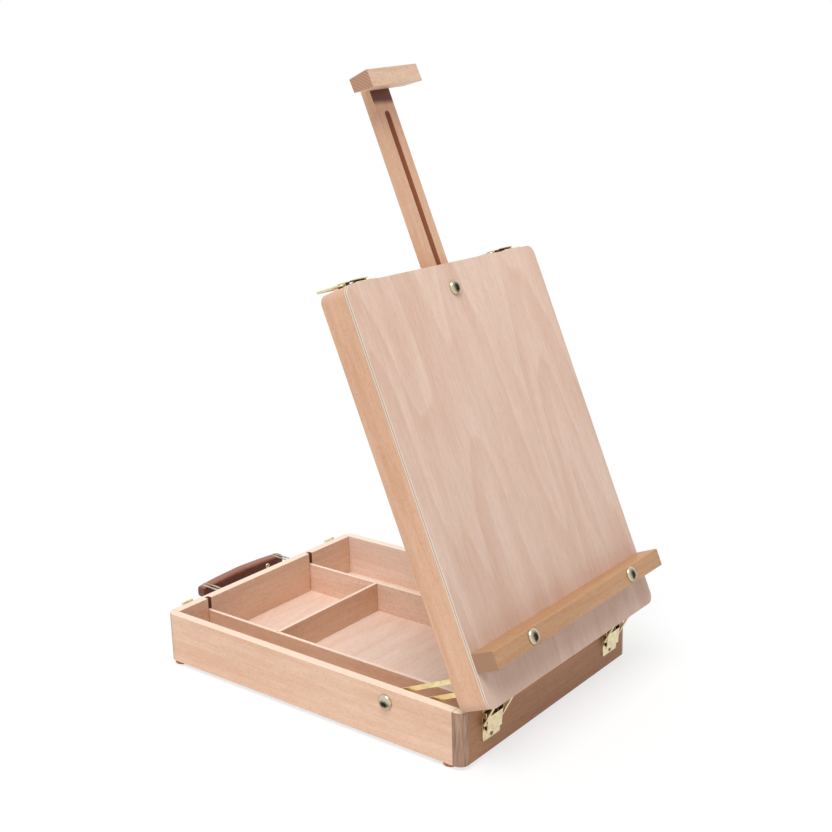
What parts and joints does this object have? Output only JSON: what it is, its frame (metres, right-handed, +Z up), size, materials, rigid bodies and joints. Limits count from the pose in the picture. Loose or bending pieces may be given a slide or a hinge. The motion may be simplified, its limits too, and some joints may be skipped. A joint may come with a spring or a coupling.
{
  "type": "french easel",
  "caption": "Table-top sketch box easel in beech with a hinged canvas panel, ledge, sliding slotted mast, brass stays, toggle latches and a leather handle.",
  "frame": {"origin": "centre of the box's footprint, on the table under the feet", "axes": "+X right along the lid hinge, +Y from the hinge side to the handle side, +Z up"},
  "size_m": [0.2704, 0.4271, 0.5488],
  "materials": {
    "beech": "satin lacquered solid beech",
    "plywood": "satin beech plywood",
    "panel_plywood": "satin beech-faced plywood with a pale edge",
    "stained_wood": "stained turned hardwood",
    "brass": "polished brass plate",
    "steel_wire": "bright plated steel wire",
    "leather": "smooth dark brown leather"
  },
  "bodies": {
    "box": {"box_side_left": "beech", "box_side_right": "beech", "box_front": "beech", "box_back": "beech", "box_floor": "plywood", "divider_long_left": "beech", "divider_long_right": "beech", "divider_cross": "beech", "foot_front_left": "stained_wood", "foot_front_right": "stained_wood", "foot_back_left": "stained_wood", "foot_back_right": "stained_wood", "stay_bolt_left": "brass", "stay_bolt_right": "brass", "latch_base_front_left": "brass", "latch_base_front_right": "brass", "keeper_back_left": "brass", "keeper_back_right": "brass", "handle_bracket_left": "brass", "handle_bracket_right": "brass", "hinge_leaf_box_left": "brass", "hinge_leaf_box_right": "brass"},
    "lid": {"lid_side_left": "beech", "lid_side_right": "beech", "lid_bottom_rail": "beech", "lid_top_rail": "beech", "lid_panel": "panel_plywood", "ledge": "beech", "mast_pad": "beech", "ledge_bolt_left": "brass", "ledge_bolt_right": "brass", "mast_bolt": "brass", "latch_base_back_left": "brass", "latch_base_back_right": "brass", "keeper_front_left": "brass", "keeper_front_right": "brass", "hinge_leaf_lid_left": "brass", "hinge_leaf_lid_right": "brass", "stay_screw_left": "brass", "stay_screw_right": "brass"},
    "mast": {"mast_bar": "beech", "mast_block": "beech"},
    "handle": {"handle_grip": "leather", "handle_ring_left": "steel_wire", "handle_ring_right": "steel_wire"},
    "stay_left": {"stay_left": "brass"},
    "stay_nut_left": {"stay_nut_left": "brass"},
    "ledge_nut_left": {"ledge_nut_left": "brass"},
    "lever_front_left": {"lever_front_left": "brass"},
    "bail_front_left": {"bail_front_left": "brass"},
    "lever_back_left": {"lever_back_left": "brass"},
    "bail_back_left": {"bail_back_left": "brass"},
    "stay_right": {"stay_right": "brass"},
    "stay_nut_right": {"stay_nut_right": "brass"},
    "ledge_nut_right": {"ledge_nut_right": "brass"},
    "lever_front_right": {"lever_front_right": "brass"},
    "bail_front_right": {"bail_front_right": "brass"},
    "lever_back_right": {"lever_back_right": "brass"},
    "bail_back_right": {"bail_back_right": "brass"},
    "mast_nut": {"mast_nut": "brass"}
  },
  "joints": [
    {"name": "lid_hinge", "type": "hinge", "parent": "box", "child": "lid", "pos_m": [0, -0.175, 0.052], "axis": [1, 0, 0], "range_deg": [-67.5, 0]},
    {"name": "stay_left_pivot", "type": "hinge", "parent": "lid", "child": "stay_left", "pos_m": [-0.121, -0.17289, 0.07277], "axis": [1, 0, 0], "range_deg": [0, 73.2]},
    {"name": "stay_nut_left_spin", "type": "hinge", "parent": "box", "child": "stay_nut_left", "pos_m": [-0.114, -0.096, 0.04], "axis": [1, 0, 0], "continuous": true},
    {"name": "ledge_nut_left_spin", "type": "hinge", "parent": "lid", "child": "ledge_nut_left", "pos_m": [-0.079, -0.17817, 0.09661], "axis": [0, -0.9239, 0.3827], "continuous": true},
    {"name": "stay_right_pivot", "type": "hinge", "parent": "lid", "child": "stay_right", "pos_m": [0.121, -0.17289, 0.07277], "axis": [1, 0, 0], "range_deg": [0, 73.2]},
    {"name": "stay_nut_right_spin", "type": "hinge", "parent": "box", "child": "stay_nut_right", "pos_m": [0.114, -0.096, 0.04], "axis": [1, 0, 0], "continuous": true},
    {"name": "ledge_nut_right_spin", "type": "hinge", "parent": "lid", "child": "ledge_nut_right", "pos_m": [0.079, -0.17817, 0.09661], "axis": [0, -0.9239, 0.3827], "continuous": true},
    {"name": "mast_slide", "type": "slide", "parent": "lid", "child": "mast", "axis": [0, 0.3827, 0.9239], "range_m": [-0.153, 0.14]},
    {"name": "mast_nut_spin", "type": "hinge", "parent": "lid", "child": "mast_nut", "pos_m": [0, -0.05502, 0.35733], "axis": [0, -0.9239, 0.3827], "continuous": true},
    {"name": "lever_front_left_pivot", "type": "hinge", "parent": "box", "child": "lever_front_left", "pos_m": [-0.093, -0.1782, 0.0405], "axis": [-1, 0, 0], "range_deg": [0, 110]},
    {"name": "bail_front_left_pivot", "type": "hinge", "parent": "lever_front_left", "child": "bail_front_left", "pos_m": [-0.093, -0.1777, 0.032], "axis": [-1, 0, 0], "range_deg": [-132, 0]},
    {"name": "lever_back_left_pivot", "type": "hinge", "parent": "lid", "child": "lever_back_left", "pos_m": [-0.1035, -0.04492, 0.38042], "axis": [-1, 0, 0], "range_deg": [0, 110]},
    {"name": "bail_back_left_pivot", "type": "hinge", "parent": "lever_back_left", "child": "bail_back_left", "pos_m": [-0.1035, -0.05296, 0.38321], "axis": [-1, 0, 0], "range_deg": [-132, 0]},
    {"name": "lever_front_right_pivot", "type": "hinge", "parent": "box", "child": "lever_front_right", "pos_m": [0.099, -0.1782, 0.0405], "axis": [-1, 0, 0], "range_deg": [0, 110]},
    {"name": "bail_front_right_pivot", "type": "hinge", "parent": "lever_front_right", "child": "bail_front_right", "pos_m": [0.099, -0.1777, 0.032], "axis": [-1, 0, 0], "range_deg": [-132, 0]},
    {"name": "lever_back_right_pivot", "type": "hinge", "parent": "lid", "child": "lever_back_right", "pos_m": [0.103, -0.04492, 0.38042], "axis": [-1, 0, 0], "range_deg": [0, 110]},
    {"name": "bail_back_right_pivot", "type": "hinge", "parent": "lever_back_right", "child": "bail_back_right", "pos_m": [0.103, -0.05296, 0.38321], "axis": [-1, 0, 0], "range_deg": [-132, 0]},
    {"name": "handle_pivot", "type": "hinge", "parent": "box", "child": "handle", "pos_m": [0, 0.18, 0.044], "axis": [1, 0, 0], "range_deg": [-65, 40]}
  ],
  "couplings": [
    {"joint": "stay_left_pivot", "follows": "lid_hinge", "ratio": -1.0836},
    {"joint": "stay_right_pivot", "follows": "lid_hinge", "ratio": -1.0836},
    {"joint": "bail_front_left_pivot", "follows": "lever_front_left_pivot", "ratio": -1.2},
    {"joint": "bail_back_left_pivot", "follows": "lever_back_left_pivot", "ratio": -1.2},
    {"joint": "bail_front_right_pivot", "follows": "lever_front_right_pivot", "ratio": -1.2},
    {"joint": "bail_back_right_pivot", "follows": "lever_back_right_pivot", "ratio": -1.2}
  ]
}
